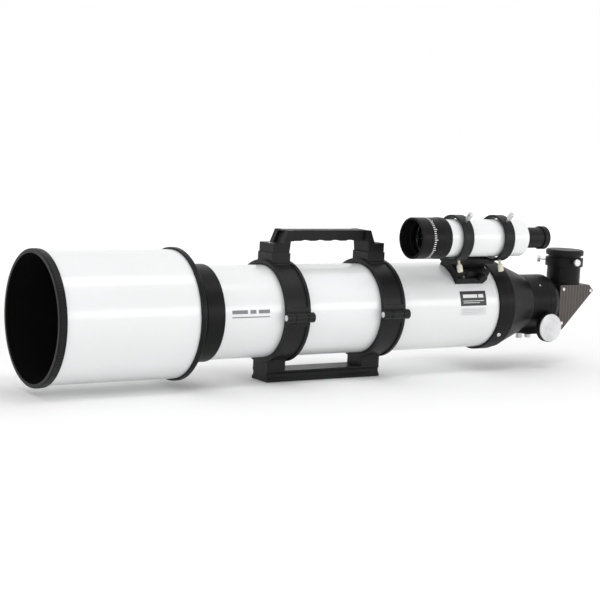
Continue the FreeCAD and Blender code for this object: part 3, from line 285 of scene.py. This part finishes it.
LOOKS = {
    "white_enamel": painted("white_enamel", (0.83, 0.84, 0.845, 1), (0.81, 0.82, 0.822, 1), 0.22, 900.0,
                            0.00002, coat=0.35),
    "black_anodised": painted("black_anodised", (0.0055, 0.0055, 0.006, 1), (0.009, 0.009, 0.0095, 1), 0.36,
                              2600.0, 0.00005, edge_rub_and_highlight=0.5, gloss=0.13),
    "black_cast": painted("black_cast", (0.009, 0.009, 0.0095, 1), (0.014, 0.014, 0.015, 1), 0.38, 1500.0,
                          0.00012, edge_rub_and_highlight=0.4, gloss=0.18),
    "black_plastic": painted("black_plastic", (0.007, 0.007, 0.007, 1), (0.011, 0.011, 0.011, 1), 0.40,
                             1900.0, 0.00007, edge_rub_and_highlight=0.2, gloss=0.16),
    "baffle_black": painted("baffle_black", (0.004, 0.004, 0.004, 1), (0.006, 0.006, 0.006, 1), 0.92,
                            1200.0, 0.0002, gloss=0.08),
    "drawtube_finish": painted("drawtube_finish", (0.006, 0.006, 0.0065, 1), (0.010, 0.010, 0.011, 1), 0.33,
                               2600.0, 0.00004, edge_rub_and_highlight=0.4, gloss=0.14),
    "felt": felt(),
    "bright_steel": brushed("bright_steel", (0.82, 0.82, 0.83, 1), 0.22, (900.0, 140.0, 900.0)),
    "satin_aluminium": brushed("satin_aluminium", (0.70, 0.70, 0.71, 1), 0.36, (700.0, 90.0, 700.0)),
    "ivory_plastic": painted("ivory_plastic", (0.76, 0.73, 0.60, 1), (0.70, 0.67, 0.55, 1), 0.35, 1600.0,
                             0.00004),
    "carbon_plate": carbon(),
    "coated_glass": coated_glass(),
    "front_mirror": front_mirror(),
}
EXTRA = {
    "label_black": printed("label_black", (0.012, 0.012, 0.013, 1), (0.020, 0.020, 0.022, 1)),
    "label_pale": printed("label_pale", (0.66, 0.67, 0.68, 1), (0.72, 0.73, 0.74, 1)),
    "label_white": printed("label_white", (0.82, 0.82, 0.82, 1), (0.76, 0.76, 0.76, 1)),
    "mark_grey": printed("mark_grey", (0.10, 0.10, 0.11, 1), (0.14, 0.14, 0.15, 1)),
    "mark_pale": printed("mark_pale", (0.42, 0.43, 0.44, 1), (0.50, 0.51, 0.52, 1)),
    "mark_soft": printed("mark_soft", (0.16, 0.17, 0.18, 1), (0.22, 0.23, 0.24, 1)),
}


def give_cad_nodes_their_looks():
    """Each CAD node takes the look of the slot that the record gives it."""
    for name, obj in NODES.items():
        obj.data.materials.clear()
        obj.data.materials.append(LOOKS[SLOT_OF[name]])


give_cad_nodes_their_looks()


# ---------------------------------------------------------------------------- detail pieces
def settled(name, bm, look, body):
    """Makes a piece from a bmesh, smooths its shading and rides it on a body."""
    bmesh.ops.recalc_face_normals(bm, faces=bm.faces)
    for face in bm.faces:
        face.smooth = True
    for edge in bm.edges:
        if len(edge.link_faces) == 2 and edge.calc_face_angle(0.0) > CREASE:
            edge.smooth = False
    mesh = bpy.data.meshes.new(name)
    bm.to_mesh(mesh)
    bm.free()
    mesh.materials.append(look)
    obj = bpy.data.objects.new(name, mesh)
    bpy.context.scene.collection.objects.link(obj)
    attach(obj, body)
    return obj


def frame_along(centre, direction):
    """A matrix whose own X axis runs along direction, at centre."""
    along = Vector(direction).normalized()
    helper = Vector((0, 0, 1)) if abs(along.z) < 0.9 else Vector((0, 1, 0))
    side = helper.cross(along).normalized()
    up = along.cross(side)
    turn = Matrix((along, side, up)).transposed().to_4x4()
    return Matrix.Translation(centre) @ turn


def add_lathe(bm, profile, where, steps=96, wave=None, closed=True):
    """Turns a profile of (place along X, radius) about X; wave changes the radius with the turn."""
    rings = []
    for x, radius in profile:
        ring = []
        for step in range(steps):
            angle = 2 * math.pi * step / steps
            reach = radius * (wave(x, angle) if wave else 1.0)
            ring.append(bm.verts.new(where @ Vector((x, reach * math.sin(angle), reach * math.cos(angle)))))
        rings.append(ring)
    pairs = list(zip(rings, rings[1:])) + ([(rings[-1], rings[0])] if closed else [])
    for first, second in pairs:
        for step in range(steps):
            after = (step + 1) % steps
            bm.faces.new((first[step], first[after], second[after], second[step]))
    if not closed:
        bm.faces.new(rings[0])
        bm.faces.new(list(reversed(rings[-1])))


def lathe(name, profile, where, look, body, steps=96, wave=None, closed=True):
    """One turned piece; see add_lathe for its profile and wave."""
    bm = bmesh.new()
    add_lathe(bm, profile, where, steps, wave, closed)
    return settled(name, bm, look, body)


def add_band_patch(bm, axis_place, radius, thickness, x_span, turn_span, steps=20):
    """A closed slab wrapped on a cylinder about X; turns are from the top towards -Y."""
    sheets = []
    for reach in (radius, radius + thickness):
        rows = []
        for x in x_span:
            row = []
            for step in range(steps + 1):
                turn = math.radians(turn_span[0] + (turn_span[1] - turn_span[0]) * step / steps)
                spot = Vector((x, -reach * math.sin(turn), reach * math.cos(turn)))
                row.append(bm.verts.new(axis_place + spot))
            rows.append(row)
        sheets.append(rows)
    (low_a, low_b), (top_a, top_b) = sheets
    for step in range(steps):
        bm.faces.new((low_a[step], low_a[step + 1], low_b[step + 1], low_b[step]))
        bm.faces.new((top_a[step], top_b[step], top_b[step + 1], top_a[step + 1]))
        bm.faces.new((low_a[step], top_a[step], top_a[step + 1], low_a[step + 1]))
        bm.faces.new((low_b[step], low_b[step + 1], top_b[step + 1], top_b[step]))
    for end in (0, steps):
        bm.faces.new((low_a[end], low_b[end], top_b[end], top_a[end]))


# ------------------------------------------------------------------ linings of the tubes
def linings():
    """Dead-black paint inside the white tubes, as a thin film on each wall."""
    shield_low, shield_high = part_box("dew_shield_tube")
    film, gap = 0.25 * MM, 0.03 * MM
    reach = half_height("dew_shield_tube") - SHIELD_WALL - gap
    span = (shield_low.x + 0.5 * MM, shield_high.x - 4.2 * MM)
    lathe("dew_shield_lining", [(span[0], reach), (span[0], reach - film), (span[1], reach - film),
                                (span[1], reach)], Matrix.Translation(main_axis()),
          LOOKS["baffle_black"], "dew_shield", 144)
    reach = TUBE_RADIUS - TUBE_WALL - gap
    front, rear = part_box("lens_cell")[1].x + 0.5 * MM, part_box("rear_cell")[0].x - 0.5 * MM
    stops = sorted({round(v.co.x, 5) for v in NODES["tube_baffles"].data.vertices})
    edges = [front] + stops + [rear]
    for index in range(0, len(edges), 2):
        start, end = edges[index] + gap, edges[index + 1] - gap
        lathe(f"tube_lining_{index // 2}", [(start, reach), (start, reach - film), (end, reach - film),
                                            (end, reach)],
              Matrix.Translation(main_axis()), LOOKS["baffle_black"], "optical_tube")


def finder_lining():
    """Matt black inside of the finder's tube, with the stop in front of its eyepiece."""
    low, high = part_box("finder_tube")
    reach = half_height("finder_tube") - FINDER_WALL
    film, stop_hole, stop_thick = 0.3 * MM, 12 * MM, 0.4 * MM
    start, end = low.x + 1 * MM, high.x - 9 * MM
    profile = [(start, reach), (end, reach), (end, stop_hole), (end - stop_thick, stop_hole),
               (end - stop_thick, reach - film), (start, reach - film)]
    lathe("finder_lining", profile, Matrix.Translation(finder_axis()), LOOKS["baffle_black"], "finder",
          96)


def objective_edge_blacking():
    """Black ring of paint that shows round the front lens, inside the retainer."""
    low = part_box("lens_retainer")[0]
    reach = half_height("lens_retainer") - 2.2 * MM
    lathe("lens_edge_ring", [(low.x - 0.6 * MM, reach + 1.6 * MM), (low.x - 0.6 * MM, reach - 0.2 * MM),
                             (low.x + 0.2 * MM, reach - 0.9 * MM), (low.x + 0.4 * MM, reach - 0.2 * MM),
                             (low.x, reach + 1.6 * MM)], Matrix.Translation(main_axis()),
          LOOKS["black_anodised"], "optical_tube", 144)
    slots = bmesh.new()
    for turn in (0, 120, 240):
        add_band_patch(slots, main_axis(), reach + 0.2 * MM, 1.2 * MM, (low.x - 0.75 * MM, low.x - 0.62 * MM),
                       (turn - 2, turn + 2), 4)
    settled("lens_ring_key_marks", slots, EXTRA["mark_grey"], "optical_tube")


# ------------------------------------------------------------------------ printed marks
def name_plate():
    """Black plate with plain bars, and a pale strip with fine lines below it."""
    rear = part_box("main_tube")[1].x
    front, end = rear - 77.5 * MM, rear - 26.5 * MM
    plate = bmesh.new()
    add_band_patch(plate, main_axis(), TUBE_RADIUS + MARK_GAP, 0.2 * MM, (front, end), (64.5, 84.0), 24)
    settled("name_plate", plate, EXTRA["label_black"], "optical_tube")
    bars = bmesh.new()
    for start, stop, low, high in ((0.10, 0.66, 69.0, 73.5), (0.70, 0.90, 69.0, 73.5),
                                   (0.10, 0.90, 77.2, 77.9), (0.10, 0.74, 79.6, 80.3)):
        span = (front + start * (end - front), front + stop * (end - front))
        add_band_patch(bars, main_axis(), TUBE_RADIUS + 0.23 * MM, 0.05 * MM, span, (low, high), 8)
    settled("name_plate_bars", bars, EXTRA["label_white"], "optical_tube")
    strip = bmesh.new()
    add_band_patch(strip, main_axis(), TUBE_RADIUS + MARK_GAP, 0.1 * MM, (front, end), (86.5, 96.5), 16)
    settled("data_strip", strip, EXTRA["label_pale"], "optical_tube")
    lines = bmesh.new()
    for row, turn in enumerate((88.3, 90.3, 92.3, 94.3)):
        stop = (0.92, 0.86, 0.90, 0.62)[row]
        add_band_patch(lines, main_axis(), TUBE_RADIUS + 0.13 * MM, 0.03 * MM,
                       (front + 0.06 * (end - front), front + stop * (end - front)), (turn, turn + 0.45), 3)
    settled("data_strip_lines", lines, EXTRA["mark_pale"], "optical_tube")


def side_stripes():
    """Three plain dashes over a thin line on the tube's side, ahead of the front ring."""
    marks = bmesh.new()
    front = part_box("lens_cell")[1].x + 64 * MM
    for start, stop, low, high in ((13, 32, 80.0, 84.5), (36, 46, 80.0, 84.5), (50, 76, 80.0, 84.5),
                                   (13, 76, 88.0, 89.2)):
        add_band_patch(marks, main_axis(), TUBE_RADIUS + MARK_GAP, 0.05 * MM,
                       (front - start * MM, front - stop * MM), (low, high), 6)
    settled("side_stripes", marks, EXTRA["mark_soft"], "optical_tube")


def finder_ticks():
    """Fine scale of plain strokes round the finder's front cell."""
    radius = half_height("finder_cell")
    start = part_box("finder_cell")[0].x + 21 * MM
    bm = bmesh.new()
    for step in range(60):
        turn = 6.0 * step
        long = step % 5 == 0
        add_band_patch(bm, finder_axis(), radius + 0.01 * MM, 0.06 * MM,
                       (start, start + (6.0 if long else 4.0) * MM), (turn - 1.1, turn + 1.1), 1)
    settled("finder_cell_scale", bm, EXTRA["label_white"], "finder_focus")


def finder_cell_grip():
    """Shallow ribs round the rear of the finder's front cell."""
    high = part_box("finder_cell")[1]
    radius = half_height("finder_cell")
    profile = [(high.x - 14 * MM, radius - 0.2 * MM), (high.x - 13.7 * MM, radius + 0.25 * MM),
               (high.x - 4.3 * MM, radius + 0.25 * MM), (high.x - 4 * MM, radius - 0.2 * MM)]
    lathe("finder_cell_grip", profile, Matrix.Translation(finder_axis()), LOOKS["black_anodised"],
          "finder_focus", 360, lambda x, angle: 1 + 0.004 * math.cos(90 * angle))


def eye_lens():
    """The finder's eye lens and the ring that holds it in the eyecup."""
    cup_depth, reach = 11.5 * MM, 10.9 * MM
    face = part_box("finder_eyepiece")[1].x - cup_depth
    sliver, bulge, steps = 0.0001 * MM, 2.2 * MM, 6
    crown = [(face - 3 * MM, sliver), (face - 3 * MM, reach)]
    for step in range(steps + 1):
        share = 1 - step / steps
        crown.append((face + bulge * (1 - share ** 2), reach * share + sliver))
    lathe("finder_eye_lens", crown, Matrix.Translation(finder_axis()), LOOKS["coated_glass"], "finder",
          48)
    lathe("finder_eye_field_stop", [(face - 10 * MM, 4 * MM), (face - 10 * MM, reach), (face - 9 * MM, reach),
                                    (face - 9 * MM, 4 * MM)], Matrix.Translation(finder_axis()),
          LOOKS["baffle_black"], "finder", 48)


# ------------------------------------------------------------------ ribs, heads and knobs
def shield_ring_ribs():
    """Fine ribs round the dew shield's front ring."""
    low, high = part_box("dew_shield_front_ring")
    radius = half_height("dew_shield_front_ring")
    profile = [(low.x + 1.6 * MM, radius - 0.3 * MM), (low.x + 1.8 * MM, radius + 0.16 * MM),
               (high.x - 2.6 * MM, radius + 0.16 * MM), (high.x - 2.4 * MM, radius - 0.3 * MM)]
    lathe("dew_shield_ring_ribs", profile, Matrix.Translation(main_axis()), LOOKS["black_plastic"],
          "dew_shield", 720, lambda x, angle: 1 + 0.0016 * math.cos(120 * angle))


def focus_knobs():
    """Black ribbed discs with turned bright caps, in place of the plain CAD discs."""
    low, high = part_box("focus_knobs")
    centre = middle("focus_knobs")
    rim = half_height("focus_knobs")
    thick, hub, bore, disc = 11 * MM, 9 * MM, 4.1 * MM, 8.6 * MM
    for side, word in ((-1, "near"), (1, "far")):
        face = (low.y if side < 0 else high.y) - side * thick
        where = frame_along(Vector((centre.x, face, centre.z)), (0, side, 0))
        lathe(f"focus_knob_{word}", [
            (-5 * MM, bore), (-5 * MM, hub), (0, hub), (0, rim - 1.6 * MM), (0.9 * MM, rim - 0.35 * MM),
            (disc - 0.6 * MM, rim - 0.35 * MM), (disc, rim - 1.2 * MM), (disc, bore)], where,
            LOOKS["black_anodised"], "focus_drive", 480,
            lambda x, angle: 1 + 0.009 * max(-0.6, math.cos(80 * angle)))
        back = disc + 0.1 * MM
        grooves = [(back, 0.3 * MM), (back, rim - 1.5 * MM), (thick - 1.4 * MM, rim - 1.1 * MM),
                   (thick - 0.7 * MM, rim - 1.3 * MM), (thick, rim - 2.0 * MM)]
        for step in range(9):
            reach = rim - 2.4 * MM - step * 2.1 * MM
            grooves += [(thick, reach), (thick - 0.07 * MM, reach - 0.25 * MM), (thick, reach - 0.5 * MM)]
        grooves += [(thick, 0.3 * MM)]
        cap = lathe(f"focus_cap_{word}", grooves, where, LOOKS["satin_aluminium"], "focus_drive",
                    128, closed=False)
        if side < 0:
            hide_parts("focus_knobs")


def head_of(node, joint):
    """Where a thumbscrew's head lies along its joint's axis: start, end and radius."""
    along = Vector(joint["axis"]).normalized()
    anchor = Vector(joint["pos_m"])
    spots = []
    for vertex in NODES[node].data.vertices:
        reach = vertex.co - anchor
        far = reach.dot(along)
        spots.append((far, (reach - along * far).length))
    radius = max(spot[1] for spot in spots)
    wide = [far for far, out in spots if out > 0.97 * radius]
    return anchor, along, min(wide), max(spot[0] for spot in spots), radius


def thumb_head(node, look, ribs, depth, neck=0.0):
    """Ribbed sleeve with a turned groove on a thumbscrew's head."""
    joint = [item for item in frame["joints"] if item["child"] == node][0]
    anchor, along, start, end, radius = head_of(node, joint)
    length = end - start
    proud = radius + 0.03 * MM
    profile = [(start, radius * 0.9), (start + 0.3 * MM, proud), (start + length * 0.42, proud),
               (start + length * 0.46, proud - depth), (start + length * 0.54, proud - depth),
               (start + length * 0.58, proud), (end - 1.6 * MM, proud), (end - 0.9 * MM, radius * 0.84),
               (end - 0.9 * MM, radius * 0.2), (start, radius * 0.2)]
    lathe(f"{node}_grip", profile, frame_along(anchor, along), look, node, 6 * ribs,
          lambda x, angle: 1 + 0.024 * max(0.0, math.cos(ribs * angle)))
    if neck:
        collar = [(start - 1.9 * MM, 1.5 * MM), (start - 1.9 * MM, radius * neck),
                  (start - 0.9 * MM, radius * neck), (start - 0.9 * MM, 1.5 * MM)]
        lathe(f"{node}_collar", collar, frame_along(anchor, along), look, node, 48)


def thumb_heads():
    """Every thumbscrew's head, ribbed to suit its size."""
    for node in sorted(SLOT_OF):
        look = LOOKS[SLOT_OF[node]]
        if node.startswith("aim_screw"):
            thumb_head(node, look, 20, 0.7 * MM, 0.78)
        elif node.startswith("eyepiece_screw") or node == "drawtube_screw":
            thumb_head(node, look, 28, 0.3 * MM)
        elif node in ("lock_screw", "tension_screw"):
            thumb_head(node, look, 26, 0.5 * MM, 0.7)
        elif node == "finder_shoe_screw":
            thumb_head(node, look, 22, 0.3 * MM)


def clamp_knob_grips():
    """Lobed rubber-like grips on the two clamp knobs."""
    for word in ("front", "rear"):
        node = f"clamp_knob_{word}"
        radius = size(node).x / 2
        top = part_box(node)[1].z
        profile = [(top - 11.5 * MM, radius * 0.8), (top - 11.2 * MM, radius + 0.1 * MM),
                   (top - 2.2 * MM, radius + 0.1 * MM), (top - 0.8 * MM, radius * 0.93),
                   (top + 0.03 * MM, radius * 0.8), (top + 0.03 * MM, radius * 0.45),
                   (top - 0.5 * MM, radius * 0.4), (top - 0.5 * MM, 0.2 * MM), (top - 11.5 * MM, 0.2 * MM)]
        lathe(f"{node}_grip", profile, upright_at(node), LOOKS["black_plastic"], f"clamp_{word}",
              180, lambda x, angle: 1 - 0.045 * max(0.0, math.cos(12 * angle)) ** 3)


def plug_ribs():
    """Grip ribs round the dust plug's flange and a low rim on its top."""
    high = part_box("dust_plug")[1]
    radius = size("dust_plug").y / 2
    where = upright_at("dust_plug")
    profile = [(high.z - 7.4 * MM, radius - 0.4 * MM), (high.z - 7.2 * MM, radius + 0.1 * MM),
               (high.z - 2.0 * MM, radius + 0.1 * MM), (high.z - 1.8 * MM, radius - 0.4 * MM)]
    lathe("dust_plug_ribs", profile, where, LOOKS["black_plastic"], "dust_plug", 360,
          lambda x, angle: 1 + 0.004 * math.cos(72 * angle))
    rim = [(high.z - 0.1 * MM, radius - 3.4 * MM), (high.z + 0.02 * MM, radius - 3.2 * MM),
           (high.z + 0.02 * MM, radius - 1.9 * MM), (high.z - 0.1 * MM, radius - 1.7 * MM)]
    lathe("dust_plug_rim", rim, where, LOOKS["black_plastic"], "dust_plug", 96)


def small_screws():
    """Two set screws in the rear of the focuser's body."""
    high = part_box("focuser_body")[1]
    centre = middle("drawtube")
    for index, turn in enumerate((46.0, 314.0)):
        angle = math.radians(turn)
        out = Vector((0, -math.sin(angle), math.cos(angle)))
        spot = Vector((high.x - 21.0 * MM, centre.y, centre.z)) + out * (BODY_RADIUS - 0.35 * MM)
        lathe(f"focuser_set_screw_{index}", [
            (-1.0 * MM, 0.3 * MM), (-1.0 * MM, 1.75 * MM), (0.55 * MM, 1.75 * MM), (0.8 * MM, 1.5 * MM),
            (0.8 * MM, 0.9 * MM), (0.1 * MM, 0.8 * MM), (0.1 * MM, 0.3 * MM)], frame_along(spot, out),
            LOOKS["bright_steel"], "optical_tube", 32)


def hinge_gap_shade_bands():
    """Painted shade: dark bands on each hinge's barrel where its knuckles meet, standing in for the shade in the
    narrow gaps.
    """
    pivot = [joint for joint in frame["joints"] if joint["child"] == "cradle_top"][0]["pos_m"]
    half_width, inside, outside, from_middle = 0.6 * MM, 6.9 * MM, 7.53 * MM, 10.2 * MM
    for word in ("front", "rear"):
        centre = middle(f"ring_lower_{word}").x
        for side in (-1, 1):
            start = centre + side * from_middle - half_width
            end = start + 2 * half_width
            # painted shade of the gap between two knuckles, as a matt black band just proud of the barrel
            ring = [(start, inside), (start, outside), (end, outside), (end, inside)]
            lathe(f"hinge_gap_shade_band_{word}_{'front' if side < 0 else 'rear'}", ring,
                  Matrix.Translation((0.0, pivot[1], pivot[2])), LOOKS["baffle_black"], "cradle_base",
                  48)


def shoe_screw_rims():
    """Bright rims of the two front screws that hold the finder's shoe."""
    out = Vector((0.0, -math.sin(FINDER_TURN), math.cos(FINDER_TURN)))
    across = Vector((0.0, -math.cos(FINDER_TURN), -math.sin(FINDER_TURN)))
    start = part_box("finder_shoe")[0].x + 15 * MM
    head_height, from_middle, hole, rim = 6 * MM, 20.8 * MM, 2.3 * MM, 3.25 * MM
    profile = [(-1.5 * MM, hole), (-1.5 * MM, rim), (0.12 * MM, rim), (0.22 * MM, 3.0 * MM),
               (0.12 * MM, hole)]
    for word, side in (("near", 1), ("far", -1)):
        spot = Vector((start, AXIS.y, AXIS.z)) + out * (TUBE_RADIUS + head_height)
        spot += across * (side * from_middle)
        lathe(f"shoe_screw_rim_{word}", profile, frame_along(spot, out), LOOKS["bright_steel"],
              "optical_tube", 40)


def build_details():
    """Every detail piece, from the linings to the screw rims."""
    linings()
    finder_lining()
    objective_edge_blacking()
    name_plate()
    side_stripes()
    finder_ticks()
    finder_cell_grip()
    eye_lens()
    shield_ring_ribs()
    focus_knobs()
    thumb_heads()
    clamp_knob_grips()
    plug_ribs()
    small_screws()
    hinge_gap_shade_bands()
    shoe_screw_rims()


build_details()


# -------------------------------------------------------------------- stage, light, camera
def floor():
    """A wide pale floor with painted light: it glows, faintly near the telescope and more far away, so that its
    edge melts into the white.
    """
    bm = bmesh.new()
    bmesh.ops.create_grid(bm, x_segments=2, y_segments=2, size=14.0)
    mesh = bpy.data.meshes.new("floor")
    bm.to_mesh(mesh)
    bm.free()
    obj = bpy.data.objects.new("floor", mesh)
    obj.location.z = -0.0004
    bpy.context.scene.collection.objects.link(obj)
    material, tree, shader = blank("floor")
    grain = noise(tree, place(tree), 0.6, 2.0)
    feed(tree, mixed(tree, grain, (0.90, 0.90, 0.90, 1), (0.93, 0.93, 0.93, 1)), shader.inputs["Base Color"])
    shader.inputs["Roughness"].default_value = 0.9
    shader.inputs["Specular IOR Level"].default_value = 0.1
    # painted light: emission that rises with the distance from the floor's centre
    away = add(tree, "ShaderNodeVectorMath", {0: place(tree)}, operation="LENGTH").outputs["Value"]
    shader.inputs["Emission Color"].default_value = (1.0, 1.0, 1.0, 1)
    feed(tree, ranged(tree, away, 0.7, 3.5, 0.06, 0.45), shader.inputs["Emission Strength"])
    mesh.materials.append(material)


def soft_light(name, place_from, target, width, height, power):
    """A rectangular light that faces the target."""
    data = bpy.data.lights.new(name, "AREA")
    data.shape = "RECTANGLE"
    data.size, data.size_y = width, height
    data.energy = power
    obj = bpy.data.objects.new(name, data)
    obj.location = place_from
    obj.rotation_euler = (Vector(target) - Vector(place_from)).to_track_quat("-Z", "Y").to_euler()
    bpy.context.scene.collection.objects.link(obj)


def studio():
    """A white room, dimmer towards the camera than behind the telescope, with three soft lights."""
    world = bpy.data.worlds.new("studio")
    bpy.context.scene.world = world
    world.use_nodes = True
    tree = world.node_tree
    toward = add(tree, "ShaderNodeTexCoord").outputs["Generated"]
    away = (0.543, 0.840, 0.0)
    facing = add(tree, "ShaderNodeVectorMath", {0: toward, 1: away}, operation="DOT_PRODUCT")
    feed(tree, ranged(tree, facing.outputs["Value"], -0.5, 0.45, 0.66, 1.0),
         tree.nodes["Background"].inputs["Strength"])
    tree.nodes["Background"].inputs["Color"].default_value = (1.0, 1.0, 1.0, 1)
    centre = (0.0, 0.0, 0.11)
    soft_light("key", (1.35, -2.2, 0.62), centre, 1.7, 0.6, 10.0)
    soft_light("top", (0.1, -0.9, 2.3), centre, 2.0, 0.6, 12.0)
    soft_light("left", (-2.6, -0.8, 1.2), centre, 0.9, 0.9, 8.0)
    bpy.context.scene.view_settings.view_transform = "Standard"


def camera():
    """Looks a little down on the hinge side, from well in front of the objective."""
    azimuth, down, roll = (math.radians(turn) for turn in (32.912, 6.963, 2.796))
    look = Vector((math.sin(azimuth) * math.cos(down), math.cos(azimuth) * math.cos(down), -math.sin(down)))
    level = Vector((math.cos(azimuth), -math.sin(azimuth), 0.0))
    upright = level.cross(look)
    right = level * math.cos(roll) + upright * math.sin(roll)
    up = upright * math.cos(roll) - level * math.sin(roll)
    data = bpy.data.cameras.new("camera")
    data.sensor_width = 36.0
    data.lens = 96.0
    obj = bpy.data.objects.new("camera", data)
    turn = Matrix((right, up, -look)).transposed().to_4x4()
    stand = (-1.3406, -2.0153, 0.4127)
    obj.matrix_world = Matrix.Translation(stand) @ turn
    bpy.context.scene.collection.objects.link(obj)
    bpy.context.scene.camera = obj


floor()
studio()
camera()

bpy.context.view_layer.update()
